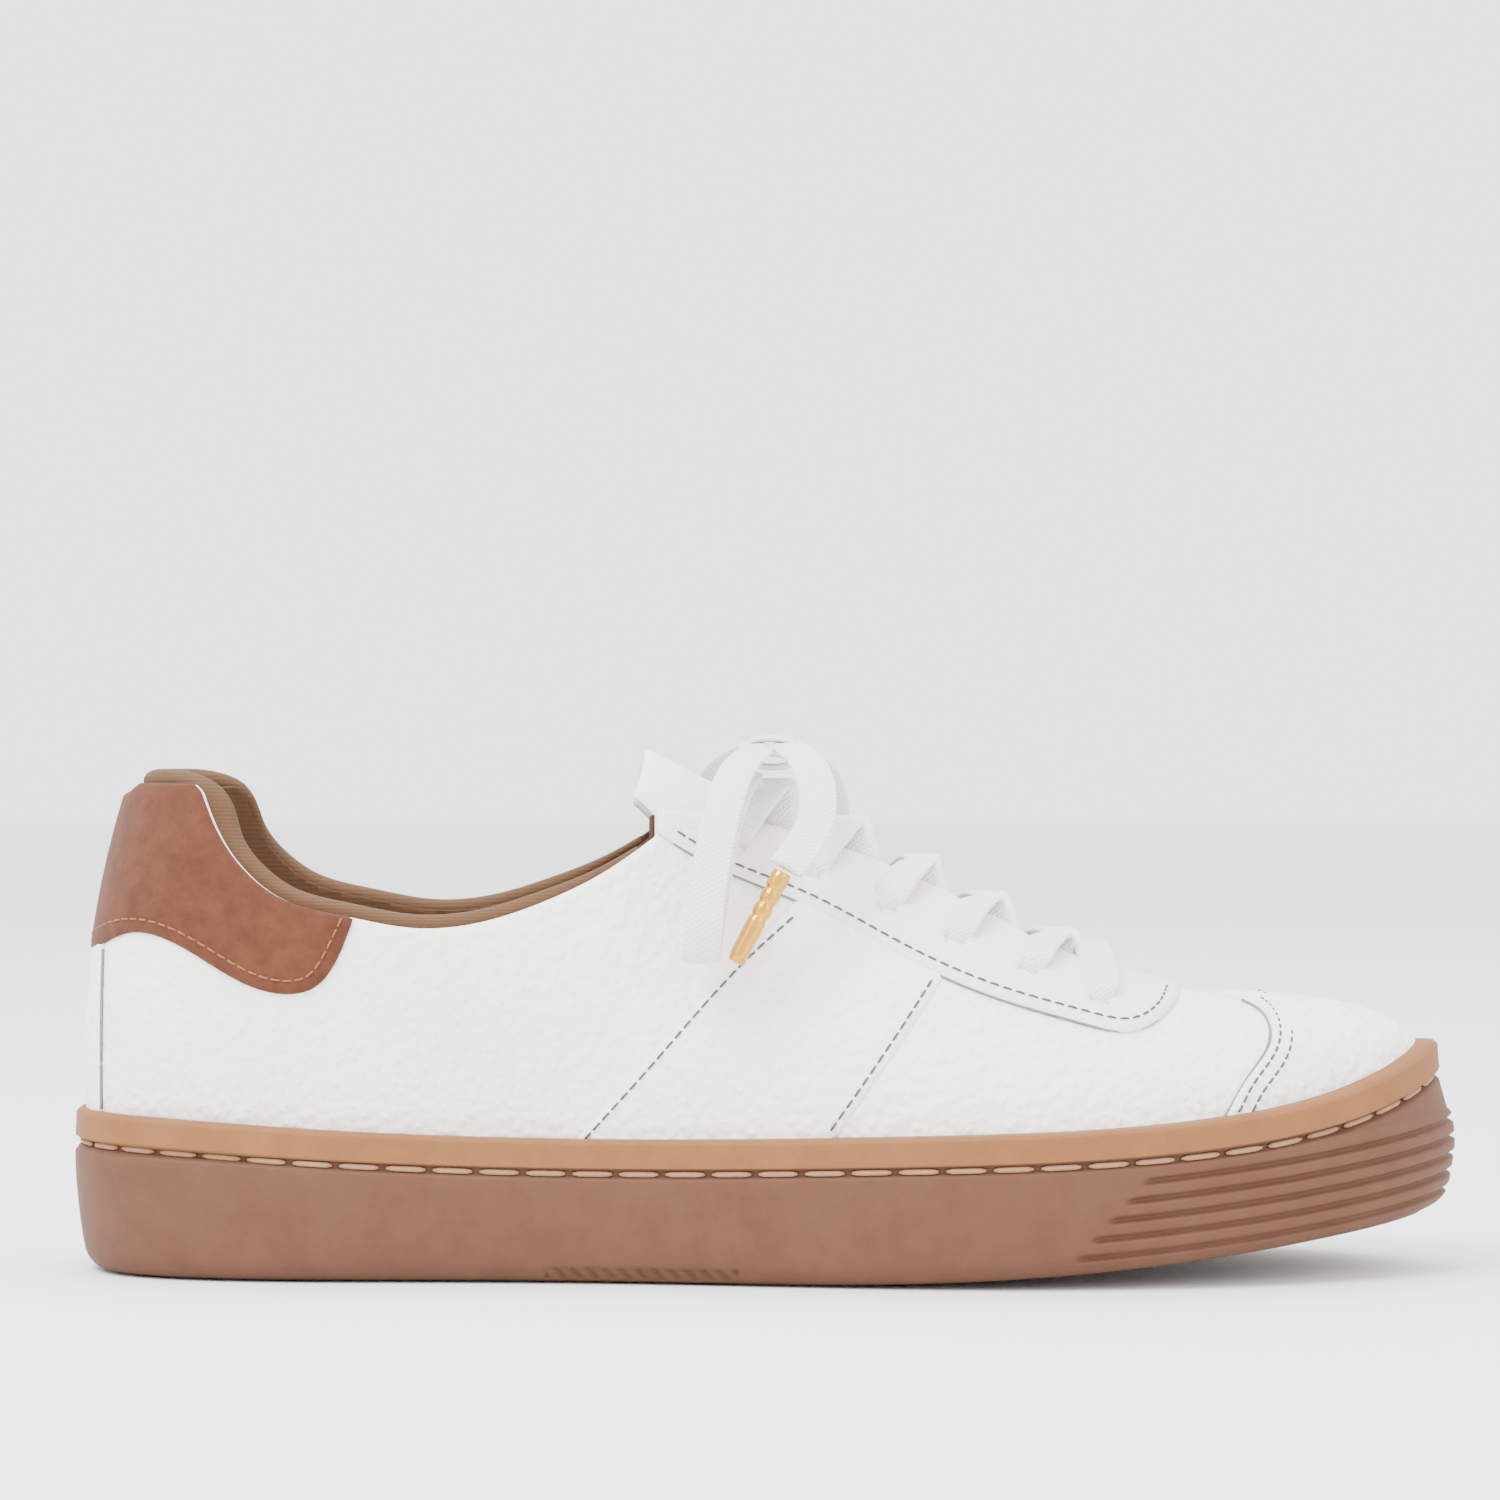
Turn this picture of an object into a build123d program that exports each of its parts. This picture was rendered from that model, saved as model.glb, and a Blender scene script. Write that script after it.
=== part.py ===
from build123d import *
import math
import os

import numpy as np

# Low court shoe for the right foot: a stitched leather upper on a rubber cupsole, with its tongue,
# linings, footbed and tied laces. All sizes are in mm.
# X runs from heel to toe, +Y is the inner (medial) side, Z is up from the ground, and the origin is
# on the ground under the middle of the sole.

# Outline of the sole seen from above. The outer side runs heel to toe, the inner side toe to heel.
LATERAL_OUTLINE = [(-150, 0), (-143.5, -21.5), (-121, -34.5), (-75, -38.5), (-30, -41.5), (15, -49), (55, -53),
                   (90, -49), (121, -37), (142.5, -19)]
MEDIAL_OUTLINE = [(150, 0), (142.5, 19), (124, 37.5), (95, 48.5), (60, 52.5), (28, 49), (-12, 41.5), (-52, 37.5),
                  (-92, 37), (-122, 33.5), (-143.5, 21.5)]

# The last, the foot form that every layer of the upper follows. Each list is (x, value).
TOE_SPRING = 13.5
FEATHER_HEIGHT = 15.0
LAST_INSET = [(-150, 5.4), (-120, 6.6), (-60, 6.2), (0, 6.8), (60, 6.6), (110, 9.0), (150, 11.8)]
RIDGE = [(-112, 150), (-90, 150), (-60, 137), (-45, 127.5), (-24, 115), (0, 102.6), (16, 94.5), (34, 84.8),
         (47, 77.6), (62, 69.6), (78, 62.8), (93, 59.3), (104, 58.4), (116, 57.5)]
RIDGE_REACH = [(-150, -103), (-100, -90), (-50, -50), (0, 0), (60, 55), (100, 83), (150, 104)]
BULGE = [(-150, 11.1), (-110, 9.0), (-60, 6.0), (0, 6.0), (60, 7.0), (110, 7.0), (150, 8.0)]
RISE = [(-150, 62), (-110, 60), (-60, 56), (0, 36), (60, 25), (110, 21), (150, 21)]
ROOF = [(-150, 24), (-110, 28), (-60, 24), (-24, 20), (20, 20), (60, 24), (90, 30), (120, 36), (150, 37)]

# Offsets of the layers from the last: the leather's outer face is at 0.
LEATHER = 1.4
OVERLAY = 1.25
GAP = 0.25
LINING = 1.0
LINING_OFFSET = 1.9
COUNTER_ROOM = 1.6
COLLAR_PAD = 4.5

# Sole heights above the sprung ground line.
SOLE_FLOOR = 7.0
STROBEL = 1.9
FOOTBED = 5.5
LIP_LINE = [(-160, 34.6), (-148, 34.5), (-90, 31.6), (-27, 30.1), (29, 31.4), (94, 34.9), (122, 39.5), (144, 46.5),
            (160, 53)]
GROOVE_DROP = 7.0

# Seams of the upper seen from the outer side, as (x, z).
COLLAR = [(-23.8, 93.5), (-35.5, 85.4), (-46.1, 80.2), (-60, 75.5), (-75, 74.2), (-89, 76.7), (-101.8, 80.1),
          (-110.2, 86.2), (-116, 94), (-120, 103)]
HEEL_TOP = 104.4
MEDIAL_LIFT = 1.5
STRIPE_REAR = [(-44.6, 25), (-24.9, 47.1), (-4.4, 69.4), (15, 89)]
STRIPE_FRONT = [(10, 25), (20.9, 40.6), (36.6, 63.4), (44, 75)]
EYESTAY_EDGE = [(-24.2, 94.2), (-13.3, 87.7), (7.2, 78.9), (27.2, 68.3), (48, 59.2), (67.5, 53.5), (76, 52.1),
                (83.9, 55.3), (89.4, 61), (92, 70)]
TOE_SEAM = [(88, 26), (94.2, 33.6), (100.3, 42.8), (106.8, 51.9), (106.4, 55), (102, 57.6), (89, 60), (80, 61.5)]
PUFF_SEAM = [(104, 20), (112, 38), (113, 52), (104, 56), (84, 58)]
PATCH_EDGE = [(-160, 61), (-146.8, 67.2), (-135, 72.8), (-120.1, 68.1), (-103.7, 60.5), (-95.7, 61.4),
              (-89.9, 68.9), (-86.1, 80)]
BACK_STRIP_X = -142.0
THROAT = [(-40, -24.5), (-24, -19.5), (16, -11.5), (47, -10), (70, -9), (79, 0), (70, 9), (47, 10), (16, 11.5),
          (-24, 19.5), (-40, 24.5)]
TONGUE_END = [(-36, 84), (-33, 92), (-25.5, 110), (-24, 120)]
TONGUE_SIDES = [(-45, 17.5), (-26, 17.5), (-12, 23), (86, 21)]

# Eyelets of the outer side from the ankle to the toe, as (x, z); the inner side mirrors them.
EYELETS = [(-7, 91), (9, 84.5), (25, 77.7), (39.5, 71), (55, 64.6), (70, 58.2)]
EYELET_RADIUS = 2.2

# Lace: a flat braid on the shoe, and round tubes of the same section where it hangs free.
LACE_WIDTH = 8.0
LACE_THICKNESS = 1.4
FREE_LACE_DIAMETER = 3.8
AGLET_RADIUS = 2.5
KNOT_CENTRE = (1.0, 0.0, 111.0)
KNOT_SIZE = (12.0, 11.4, 6.0)
LOOP_LATERAL = [(-2, -7.5, 111.5), (-6, -21, 109.5), (-9.5, -34, 100), (-12, -42.5, 87), (-13.5, -46.5, 75),
                (-14, -44.8, 67.2), (-13.8, -38.4, 69), (-12.5, -38.2, 79), (-10.5, -32, 92), (-7.5, -20.5, 102.5),
                (-4.8, -9.5, 106.4)]
LOOP_MEDIAL = [(-3.5, 7.5, 112), (-9, 20.5, 109.5), (-14, 32.5, 100.5), (-17, 41, 88), (-18.5, 45.5, 77),
               (-18.5, 44, 69.4), (-18, 37.6, 71), (-17, 37, 81), (-14.5, 31, 93), (-10.5, 20, 103), (-5.2, 9.5, 106.6)]
END_LATERAL = [(4.5, -7.5, 112.5), (9, -18, 109.5), (11, -27.5, 102), (9.5, -35.5, 93.5), (3.6, -40.5, 87)]
END_MEDIAL = [(4.5, 7.5, 112), (11, 17.5, 108.5), (14.5, 27, 101), (14.5, 35, 92), (11, 40.5, 84)]
AGLET_LATERAL = [(3.0, -40.9, 86), (-6.9, -43.5, 67.5)]
AGLET_MEDIAL = [(10.6, 40.9, 83), (5.0, 44.0, 63.5)]

STATIONS = 16
ROWS = 7
TURNS = 0.55
SIDES = {"lateral": -1, "medial": 1}


def cubic(points):
    """The natural cubic curve through (x, value) points, as a function of x."""
    x, y = np.array(list(points), float).T
    gap = np.diff(x)
    rows = np.eye(len(x))
    load = np.zeros(len(x))
    for i in range(1, len(x) - 1):
        rows[i, i - 1:i + 2] = gap[i - 1], 2 * (gap[i - 1] + gap[i]), gap[i]
        load[i] = 6 * ((y[i + 1] - y[i]) / gap[i] - (y[i] - y[i - 1]) / gap[i - 1])
    bend = np.linalg.solve(rows, load)

    def value(at):
        at = np.clip(at, x[0], x[-1])
        i = np.clip(np.searchsorted(x, at) - 1, 0, len(x) - 2)
        left, right = x[i + 1] - at, at - x[i]
        curved = (bend[i] * left ** 3 + bend[i + 1] * right ** 3) / (6 * gap[i])
        return (curved + (y[i] / gap[i] - bend[i] * gap[i] / 6) * left
                + (y[i + 1] / gap[i] - bend[i + 1] * gap[i] / 6) * right)

    return value


def smooth(x):
    """0 below 0, 1 above 1, and an even ramp between."""
    x = np.clip(x, 0, 1)
    return x * x * (3 - 2 * x)


looped = np.array((LATERAL_OUTLINE + MEDIAL_OUTLINE) * 3, float)
travelled = np.concatenate([[0], np.cumsum(np.linalg.norm(np.diff(looped, axis=0), axis=1))])
lap = travelled[len(looped) // 3]
toe = travelled[len(LATERAL_OUTLINE)] / lap
outline_x, outline_y = cubic(zip(travelled, looped[:, 0])), cubic(zip(travelled, looped[:, 1]))
last_inset, ridge, ridge_reach = cubic(LAST_INSET), cubic(RIDGE), cubic(RIDGE_REACH)
bulge, rise, roof, lip_line = cubic(BULGE), cubic(RISE), cubic(ROOF), cubic(LIP_LINE)
collar_height = cubic(COLLAR[::-1])


def outline(w):
    """The sole's outline: w is 0 at the heel, rises along the outer side to the toe, and is 1 at the heel again."""
    return np.array([outline_x(lap * (1 + w)), outline_y(lap * (1 + w))])


def outward(w):
    """The unit vector in plan that points out of the outline."""
    along = outline(w + 1e-4) - outline(w - 1e-4)
    return np.array([along[1], -along[0]]) / np.linalg.norm(along)


def spring(x):
    """How far the sole is lifted off the ground."""
    return TOE_SPRING * (max(x, 0.0) / 150) ** 1.9


def last(w, t):
    """A point of the last: w goes round the outline and t from the feather edge up to the ridge."""
    plan, out = outline(w), outward(w)
    x = plan[0]
    foot = plan - last_inset(x) * out
    side = foot + bulge(x) * out
    top = ridge_reach(x)
    slope = ridge(top + 0.5) - ridge(top - 0.5)
    run = roof(x) * out
    low = FEATHER_HEIGHT + spring(x)
    poles = np.array([(*foot, low), (*side, low + rise(x)),
                      (top + run[0], run[1], ridge(top) + run[0] * slope), (top, 0, ridge(top))])
    u = 1 - t
    return u ** 3 * poles[0] + 3 * t * u * u * poles[1] + 3 * t * t * u * poles[2] + t ** 3 * poles[3]


def normal(w, t):
    """The last's outward unit normal."""
    step = 1e-4
    across = last(w + step, t) - last(w - step, t)
    up = last(w, min(t + step, 1)) - last(w, max(t - step, 0))
    out = np.cross(across, up)
    return out / np.linalg.norm(out)


def off_last(w, t, offset):
    """A point at an offset from the last; offset is a number or a function of the last's x and z."""
    point = last(w, t)
    if callable(offset):
        offset = offset(point[0], point[2])
    out = point + offset * normal(w, t)
    if t == 1 or w in (0, toe):
        out[1] = 0.0
    return Vector(*out)


def stations():
    """Places round the outline, closer together where it turns: the outer side, then the inner one back."""
    k = np.linspace(0, 1, STATIONS)
    share = (1 - TURNS) * k + TURNS * (1 - np.cos(math.pi * k)) / 2
    share[-1] = 1
    return [toe * s for s in share] + [1 + (toe - 1) * s for s in share[-2:0:-1]]


def hoop(t, offset):
    """The last's points at one t all the way round; both sides share the ridge's points."""
    points = [off_last(w, t, offset) for w in stations()]
    if t == 1:
        points[STATIONS:] = points[STATIONS - 2:0:-1]
    return points


def wall(low, high):
    """Triangles between two hoops."""
    faces = []
    for a, b, c, d in zip(low, low[1:] + low[:1], high[1:] + high[:1], high):
        for corners in ((a, b, c), (a, c, d)):
            if all((p - q).length > 1e-6 for p, q in zip(corners, corners[1:] + corners[:1])):
                faces.append(Face(Wire.make_polygon(corners)))
    return faces


def lid(hoop_points):
    """Triangles that close a hoop, straight across from side to side."""
    outer = hoop_points[:STATIONS]
    inner = [hoop_points[0]] + hoop_points[:STATIONS - 1:-1] + [outer[-1]]
    return wall_strip(outer, inner)


def wall_strip(first, second):
    """Triangles between two open rows of points."""
    faces = []
    for a, b, c, d in zip(first, first[1:], second[1:], second):
        for corners in ((a, b, c), (a, c, d)):
            if all((p - q).length > 1e-6 for p, q in zip(corners, corners[1:] + corners[:1])):
                faces.append(Face(Wire.make_polygon(corners)))
    return faces


def closed(faces):
    solid = Solid(Shell(faces))
    return solid if solid.volume > 0 else -solid


def stack(hoops):
    """A solid of hoops laid one over the other."""
    faces = lid(hoops[0]) + lid(hoops[-1])
    for low, high in zip(hoops, hoops[1:]):
        faces += wall(low, high)
    return closed(faces)


def lining_offset(x, z):
    """The lining's outer face: deeper round the heel counter, and deepest behind the collar padding."""
    depth = LINING_OFFSET + COUNTER_ROOM * smooth((-45 - x) / 20)
    below_collar = collar_height(x) - z
    return -(depth + COLLAR_PAD * smooth((24 - below_collar) / 18) * smooth((-34 - x) / 18))


def dome(offset, drop=0.0):
    """The whole last as a solid at an offset, with its foot extended down by a drop."""
    hoops = [hoop(t, offset) for t in np.linspace(0, 1, ROWS)]
    if drop:
        hoops.insert(0, [Vector(p.X, p.Y, p.Z - drop) for p in hoops[0]])
    faces = lid(hoops[0])
    for low, high in zip(hoops, hoops[1:]):
        faces += wall(low, high)
    return closed(faces)


def skin(outer, inner):
    """A layer over the whole last, both sides, between two offsets."""
    return dome(outer) - dome(inner, 6)


def side_region(*strokes, side=None, reach=80):
    """A prism across the shoe over a region drawn in the side view, for one side or both."""
    corners = []
    for stroke in strokes:
        corners += [p for p in stroke if not corners or p != corners[-1]]
    face = Face(Wire.make_polygon([(x, 0, z) for x, z in corners]))
    if side is None:
        return Solid.extrude(face.moved(Location((0, -reach, 0))), Vector(0, 2 * reach, 0))
    return Solid.extrude(face, Vector(0, -reach if side == "lateral" else reach, 0))


def ring(inset, z):
    """The outline drawn smaller by inset(x), at height z."""
    points = []
    for w in stations():
        plan = outline(w)
        points.append(Vector(*(plan - inset(plan[0]) * outward(w)), z))
    return points


def sole_band(low, high):
    """A prism between two heights above the sprung ground line."""
    marks = [-160, 0, 30, 60, 90, 120, 150, 165]
    return side_region([(x, spring(x) + low) for x in marks], [(x, spring(x) + high) for x in reversed(marks)])


def sole_slab(inset, low, high):
    """A flat sole layer that follows the toe spring."""
    return stack([ring(inset, -5), ring(inset, 70)]) & sole_band(low, high)


def last_solid(offset):
    """The lower inside of the last."""
    return stack([hoop(t, offset) for t in np.linspace(0, 1, ROWS)[:-2]])


def on_top(x, y, lift):
    """The point above plan position (x, y) on the upper, lifted along the normal."""
    side = 0.0 if y < 0 else 1.0
    goal = toe if y < 0 else toe - 1
    share, t = 0.5 + x / 320, 0.8
    for _ in range(25):
        point = last(side + goal * share, t)
        dx = last(side + goal * (share + 1e-3), t) - point
        dt = last(side + goal * share, t - 1e-3) - point
        grid = np.array([[dx[0], dt[0]], [dx[1], dt[1]]]) * 1e3
        move = np.linalg.solve(grid, [x - point[0], y - point[1]])
        share = min(max(share + move[0], 0.02), 0.98)
        t = min(max(t - move[1], 0.1), 1.0)
    w = side + goal * share
    return last(w, t) + lift * normal(w, t), normal(w, t)


def on_side(x, z, side):
    """The last's point and normal at a place given in the side view."""
    begin, goal = (0.0, toe) if side == "lateral" else (1.0, toe - 1)
    best = None
    for share in np.linspace(0.2, 0.9, 90):
        for t in np.linspace(0.3, 1, 50):
            point = last(begin + goal * share, t)
            miss = (point[0] - x) ** 2 + (point[2] - z) ** 2
            if best is None or miss < best[0]:
                best = (miss, begin + goal * share, t)
    return last(*best[1:]), normal(*best[1:])


def one(shape):
    """The solids of a boolean result as one shape, without crumbs."""
    solids = [s for s in shape.solids() if s.volume > 2.0]
    return solids[0] if len(solids) == 1 else Compound(solids)


def save(name, shape):
    export_step(one(shape), f"parts/{name}.step")


def collar_region(side, lift):
    """Everything under the collar line, with the heel tab behind it."""
    extra = lift + (MEDIAL_LIFT if side == "medial" else 0)
    collar = [(x, z + extra * smooth((x + 125) / 10)) for x, z in COLLAR]
    top = HEEL_TOP + lift
    return side_region(collar, [(-121.5, top), (-135.5, top), (-138, top - 3), (-165, top - 3)],
                       [(-165, -5), (165, -5), (165, 160), (-24, 160)], side=side)


def gold_end(points):
    """An aglet: a thin metal tube closed at its tip."""
    start, tip = (Vector(*p) for p in points)
    axis = Plane(origin=start, z_dir=tip - start)
    return Solid.make_cylinder(AGLET_RADIUS, (tip - start).length, axis)


def corner_radii(points):
    """The largest tangent arcs that the runs beside each corner allow."""
    radii = []
    for a, b, c in zip(points, points[1:], points[2:]):
        first, second = Vector(*b) - Vector(*a), Vector(*c) - Vector(*b)
        half_turn = math.radians(first.get_angle(second)) / 2
        radii.append(0.45 * min(first.length, second.length) / math.tan(half_turn))
    return radii


def free_lace(name, points):
    """A hanging stretch of lace, as a round tube along straight runs and arcs."""
    radii = corner_radii(points)
    path = FilletPolyline(*points, radius=radii)
    section = Plane(origin=path @ 0, z_dir=path % 0) * Circle(FREE_LACE_DIAMETER / 2)
    tube = sweep(section, path=path)
    expected = math.pi * FREE_LACE_DIAMETER ** 2 / 4 * path.length
    print(f"{name}: length {path.length:.1f}, radii {[round(r, 1) for r in radii]},"
          f" volume {tube.volume:.1f} of {expected:.1f}")
    return tube


def ribbon(stops):
    """A flat stretch of lace through (x, y, lift) stops on top of the upper."""
    places = [on_top(*stop) for stop in stops]
    centres = [p for p, _ in places]
    wires = []
    for i, (centre, up) in enumerate(places):
        ahead = centres[min(i + 1, len(centres) - 1)] - centres[max(i - 1, 0)]
        wide = np.cross(up, ahead)
        wide = wide / np.linalg.norm(wide) * LACE_WIDTH / 2
        thick = np.cross(ahead, wide)
        thick = thick / np.linalg.norm(thick) * LACE_THICKNESS / 2
        corners = [centre + wide + thick, centre - wide + thick, centre - wide - thick, centre + wide - thick]
        wires.append(Wire.make_polygon([Vector(*c) for c in corners]))
    return Solid.make_loft(wires, ruled=True)


def crossings(holes):
    """The laced strands: one bar at the toe end, then pairs that cross up to the ankle."""
    over = OVERLAY + GAP + LACE_THICKNESS / 2 + 0.9
    spots = [(x, abs(y)) for x, y in holes]
    bar_x, bar_y = spots[-1]
    strands = [ribbon([(bar_x, -bar_y, over), (bar_x - 1, -12, over + 0.8), (bar_x - 1.5, -0.01, over + 1.2),
                       (bar_x - 1, 12, over + 0.8), (bar_x, bar_y, over)])]
    for (x, y), (before, _) in zip(spots[-2::-1], spots[:0:-1]):
        middle = (x + before) / 2
        for sign, lift in ((-1, 0.9), (1, 3.0)):
            strands.append(ribbon([(x, sign * y, over), (x + 4.5, sign * 12, over + 0.4), (middle, sign * 0.01, lift),
                                   (before - 4, -sign * 7.0, -0.9)]))
    return strands


WALL_LEAN = cubic([(-20, 6), (0, 3.2), (4, 2.2), (12, 0.9), (24, 0), (34, 0.3), (60, 2)])
TOE_LEAN = cubic([(60, 0), (110, 1.0), (150, 4.2)])


def wall_inset(x, z):
    """How far the cupsole's outer wall stands inside the outline at a height."""
    height = z - spring(x)
    return float(WALL_LEAN(height) + TOE_LEAN(x) * smooth((height - 12) / 20))


def cup_block(shrink):
    """The cupsole's outer form, drawn smaller by a constant."""
    heights = [-1, 4, 12, 24, 34, 54]
    return stack([ring(lambda x, z=z: wall_inset(x, z) + shrink, z) for z in heights])


def lip_band(top, bottom):
    """A prism between two drops below the lip line."""
    marks = [-160, -120, -80, -40, 0, 40, 80, 110, 130, 145, 160]
    upper = [(x, lip_line(x) - top) for x in marks]
    lower = [(x, lip_line(x) - bottom) for x in reversed(marks)]
    return side_region(upper, lower)


def make_sole():
    """The cupsole with its stitch groove, and the flat layers inside it."""
    block = cup_block(0) & sole_band(0, 80)
    block -= lip_band(-60, 0)
    block -= sole_slab(lambda x: last_inset(x) - GAP, SOLE_FLOOR, FEATHER_HEIGHT + 0.5)
    block -= last_solid(GAP)
    block -= sole_slab(lambda x: last_inset(x) + 5.2, FEATHER_HEIGHT - 0.5, FEATHER_HEIGHT + FOOTBED + 0.8)
    block -= last_solid(OVERLAY + GAP) & lip_band(-60, 10.2)
    groove = lip_band(GROOVE_DROP - 0.9, GROOVE_DROP + 0.9) - cup_block(1.4)
    save("cupsole", block - groove)
    board = FEATHER_HEIGHT - STROBEL - GAP
    save("midsole_filler", sole_slab(lambda x: last_inset(x) + 0.2, SOLE_FLOOR, board - GAP))
    save("strobel_board", sole_slab(lambda x: last_inset(x) + 0.2, board, board + STROBEL))
    save("footbed", sole_slab(lambda x: last_inset(x) + 5.6, FEATHER_HEIGHT + 0.4, FEATHER_HEIGHT + FOOTBED))


def throat_prism():
    """The opening between the eyestay's two arms."""
    return Solid.extrude(Face(Wire.make_polygon([(x, y, 40) for x, y in THROAT])), Vector(0, 0, 130))


def eyelet_tools():
    """Pins for the eyelet holes, and the holes' plan positions on the outer side."""
    pins, holes = [], []
    for side, sign in SIDES.items():
        for x, z in EYELETS:
            point, out = on_side(x, z, side)
            start = Vector(*(point - 8 * out))
            pins.append(Solid.make_cylinder(EYELET_RADIUS, 16, Plane(origin=start, z_dir=Vector(*out))))
            if sign < 0:
                holes.append((point[0], point[1]))
    return pins, holes


def make_upper(throat, pins):
    """The outer leather: base panels, then the overlays that are stitched on them."""
    base, cover = skin(0, -LEATHER), skin(OVERLAY + GAP, GAP) - lip_band(10, 60)
    both = {side: collar_region(side, 0) for side in SIDES}
    seam = [(-25, -5), (-13, 30), (9, 54), (23, 75), (40, 160)]
    behind = [seam, [(-165, 160), (-165, -5)]]
    ahead = [[(x + GAP, z) for x, z in seam], [(165, 160), (165, -5)]]
    puff = [PUFF_SEAM, [(84, 160), (165, 160), (165, -5), (104, -5)]]
    stay = side_region(EYESTAY_EDGE, [(92, 160), (-24.2, 160)])
    rest = cover - side_region([(x, z - GAP) for x, z in EYESTAY_EDGE], [(92.3, 160), (-26, 160)])
    toe_cap = side_region(TOE_SEAM, [(80, 160), (165, 160), (165, 10), (84, 10)])
    patch = side_region(PATCH_EDGE, [(-86, 160), (-165, 160)])
    strip = side_region([(BACK_STRIP_X, 5), (BACK_STRIP_X, 160), (-165, 160), (-165, 5)])
    open_base = base - throat
    front = {side: open_base & side_region(*ahead, side=side) for side in SIDES}
    for side in SIDES:
        save(f"quarter_{side}", open_base & both[side] & side_region(*behind, side=side))
        save(f"forefoot_panel_{side}", front[side] - side_region(*puff, side=side))
        save(f"stripe_{side}", rest & side_region(STRIPE_REAR, STRIPE_FRONT[::-1], side=side))
    save("toe_puff", open_base & side_region([(x + GAP, z + GAP) for x, z in PUFF_SEAM], *puff[1:]))
    trimmed = {name: [shape & both[side] for side in SIDES] for name, shape in
               {"eyestay": (cover & stay) - throat, "heel_patch": cover & patch}.items()}
    for name, (left, right) in trimmed.items():
        save(name, left + right - pins if name == "eyestay" else left + right)
    save("toe_piece", rest & toe_cap)
    save("back_strip", (cover - patch.moved(Location((0, 0, -GAP)))) & strip)


def make_inside(throat):
    """The layers between the leather and the foot."""
    def lining_back(x, z):
        return lining_offset(x, z) - LINING

    def pad_back(x, z):
        return lining_offset(x, z) + GAP

    lining, filling = skin(lining_offset, lining_back), skin(-LEATHER - GAP, pad_back)
    both = {side: collar_region(side, 1.0) for side in SIDES}
    rear = side_region([(-38, -5), (-38, 160), (-165, 160), (-165, -5)])
    middle = [(-38 + GAP, -5), (-38 + GAP, 160), (62, 160), (62, -5)]
    front = side_region([(62 + GAP, -5), (62 + GAP, 160), (165, 160), (165, -5)])
    counter = side_region([(-66, -5), (-70, 30), (-80, 43), (-92, 47), (-165, 47), (-165, -5)])
    pad = side_region([(-48, 66), (-56, 54), (-74, 49), (-95, 49), (-165, 49), (-165, 160), (-48, 160)])
    for name, shape in {"collar_foam": filling & pad, "collar_lining": lining & rear}.items():
        left, right = (shape & both[side] for side in SIDES)
        save(name, left + right)
    save("heel_counter", filling & counter)
    for side in SIDES:
        save(f"quarter_lining_{side}", (lining & both[side] & side_region(middle, side=side)) - throat)
    save("vamp_lining", (lining & front) - throat)


def make_tongue():
    """The tongue: its leather and its foam, under the laces and the eyestay."""
    corners = [(x, -y, 20) for x, y in TONGUE_SIDES] + [(x, y, 20) for x, y in TONGUE_SIDES[::-1]]
    plan = Solid.extrude(Face(Wire.make_polygon(corners)), Vector(0, 0, 140))
    shape = plan & side_region(TONGUE_END, [(86, 120), (86, 40), (-36, 40)])
    save("tongue_outer", skin(-3.6, -4.8) & shape)
    save("tongue_foam", skin(-5.05, -8.2) & shape)


def make_laces(holes):
    """The laced strands, the bow and its ends."""
    strands = crossings(holes)
    save("lace_crossings", Compound(strands))
    knot = Box(*KNOT_SIZE)
    knot = Pos(*KNOT_CENTRE) * fillet(knot.edges(), 2.6)
    save("lace_knot", knot)
    for name, points in {"bow_loop_lateral": LOOP_LATERAL, "bow_loop_medial": LOOP_MEDIAL,
                         "lace_end_lateral": END_LATERAL, "lace_end_medial": END_MEDIAL}.items():
        save(name, free_lace(name, points))
    save("aglet_lateral", gold_end(AGLET_LATERAL))
    save("aglet_medial", gold_end(AGLET_MEDIAL))


def main():
    os.makedirs("parts", exist_ok=True)
    throat = throat_prism()
    pins, holes = eyelet_tools()
    make_laces(holes)
    make_sole()
    make_upper(throat, pins)
    make_inside(throat)
    make_tongue()


main()
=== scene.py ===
"""Looks of the court shoe: smooth panels, seams, sole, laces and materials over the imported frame.

Sizes here are in millimetres, in the frame's axes, and turn into metres in `mesh_piece`.
"""
import math

import bpy
import numpy as np
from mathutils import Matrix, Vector
from mathutils.kdtree import KDTree


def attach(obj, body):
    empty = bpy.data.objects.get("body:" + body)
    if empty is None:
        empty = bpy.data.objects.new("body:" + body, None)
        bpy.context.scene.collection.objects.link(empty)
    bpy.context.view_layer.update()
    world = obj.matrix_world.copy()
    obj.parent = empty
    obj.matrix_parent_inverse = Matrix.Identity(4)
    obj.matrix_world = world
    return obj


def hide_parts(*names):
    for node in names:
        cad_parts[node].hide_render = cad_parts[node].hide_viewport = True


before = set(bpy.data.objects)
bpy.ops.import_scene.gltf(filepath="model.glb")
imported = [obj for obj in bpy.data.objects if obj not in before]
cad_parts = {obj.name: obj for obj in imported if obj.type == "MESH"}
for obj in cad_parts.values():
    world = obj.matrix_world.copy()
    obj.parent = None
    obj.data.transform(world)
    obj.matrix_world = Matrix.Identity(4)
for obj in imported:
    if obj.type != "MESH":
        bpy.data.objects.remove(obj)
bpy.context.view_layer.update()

MM = 0.001
CAMERA_PLACE = (-0.0038, -1.0, 0.1116)
CAMERA_LENS = 110.4
LATERAL_OUTLINE = [(-150, 0), (-143.5, -21.5), (-121, -34.5), (-75, -38.5), (-30, -41.5), (15, -49), (55, -53),
                   (90, -49), (121, -37), (142.5, -19)]
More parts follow.
